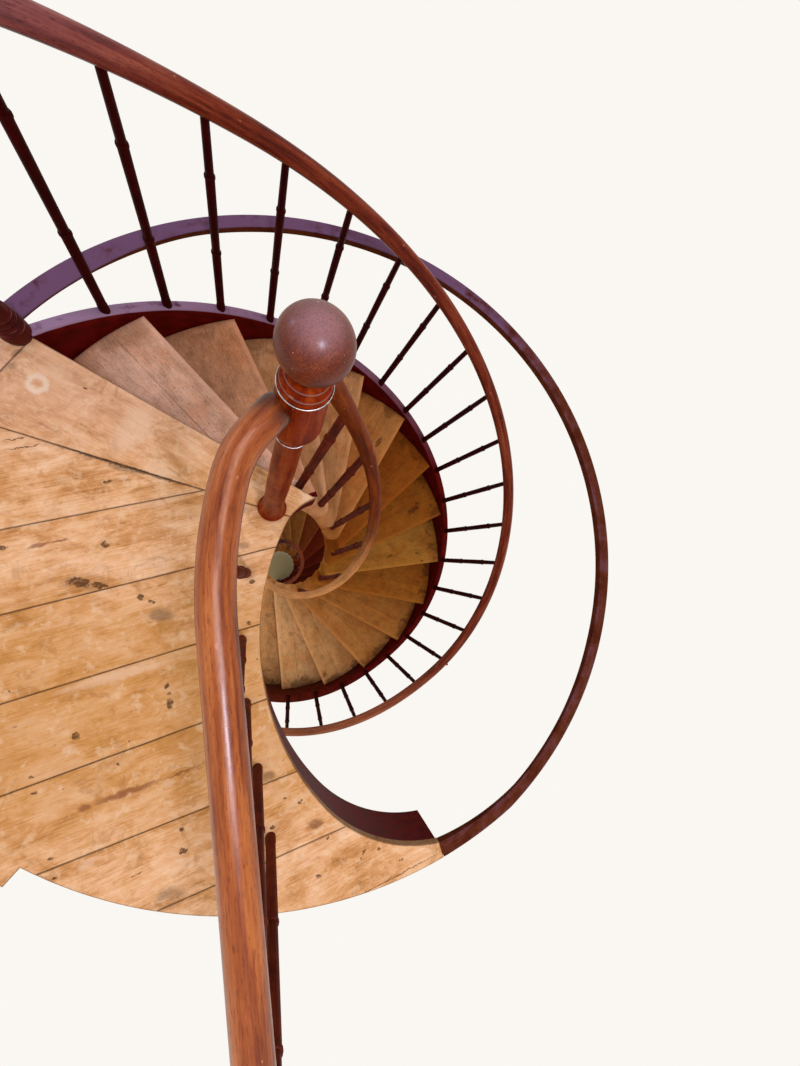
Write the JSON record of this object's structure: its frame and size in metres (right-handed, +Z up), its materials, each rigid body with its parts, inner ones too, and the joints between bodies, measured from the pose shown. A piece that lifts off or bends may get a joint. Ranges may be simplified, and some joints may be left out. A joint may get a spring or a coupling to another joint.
{
  "type": "spiral staircase",
  "caption": "Wooden spiral staircase round an open well, with winder treads, closed outer string, round handrails, turned balusters and a plank landing.",
  "frame": {"origin": "middle of the foot of the outer bottom newel, at floor level", "axes": "+Z up along the stair's axis; the stair climbs counter-clockwise seen from above; +X and +Y are level"},
  "size_m": [2.592, 2.473, 6.9799],
  "materials": {
    "tread_wood": "worn waxed pine, satin",
    "string_wood": "dark oxblood stain, satin",
    "rail_wood": "varnished mahogany, gloss",
    "baluster_wood": "dark oxblood stain, satin",
    "newel_wood": "varnished mahogany, gloss",
    "plank_wood": "worn bare pine, matte",
    "joist_wood": "sawn pine, matte"
  },
  "bodies": {
    "root": {"tread_01": "tread_wood", "tread_02": "tread_wood", "tread_03": "tread_wood", "tread_04": "tread_wood", "tread_05": "tread_wood", "tread_06": "tread_wood", "tread_07": "tread_wood", "tread_08": "tread_wood", "tread_09": "tread_wood", "tread_10": "tread_wood", "tread_11": "tread_wood", "tread_12": "tread_wood", "tread_13": "tread_wood", "tread_14": "tread_wood", "tread_15": "tread_wood", "tread_16": "tread_wood", "tread_17": "tread_wood", "tread_18": "tread_wood", "tread_19": "tread_wood", "tread_20": "tread_wood", "tread_21": "tread_wood", "tread_22": "tread_wood", "tread_23": "tread_wood", "tread_24": "tread_wood", "tread_25": "tread_wood", "tread_26": "tread_wood", "tread_27": "tread_wood", "tread_28": "tread_wood", "tread_29": "tread_wood", "tread_30": "tread_wood", "tread_31": "tread_wood", "risers": "string_wood", "outer_string_lower": "string_wood", "outer_string_upper": "string_wood", "inner_string_lower": "string_wood", "inner_string_upper": "string_wood", "outer_rail_lower": "rail_wood", "outer_rail_upper": "rail_wood", "inner_rail_lower": "rail_wood", "inner_rail_upper": "rail_wood", "outer_balusters_lower": "baluster_wood", "outer_balusters_upper": "baluster_wood", "inner_balusters": "baluster_wood", "bottom_newel": "baluster_wood", "inner_bottom_newel": "baluster_wood", "top_newel": "baluster_wood", "ball_newel": "newel_wood", "ball_finial": "newel_wood", "landing_floor": "plank_wood", "landing_fascia": "string_wood", "landing_joists": "joist_wood", "landing_ledger": "joist_wood", "well_ledge": "string_wood", "guard_rail": "rail_wood", "guard_balusters": "baluster_wood"}
  },
  "joints": []
}
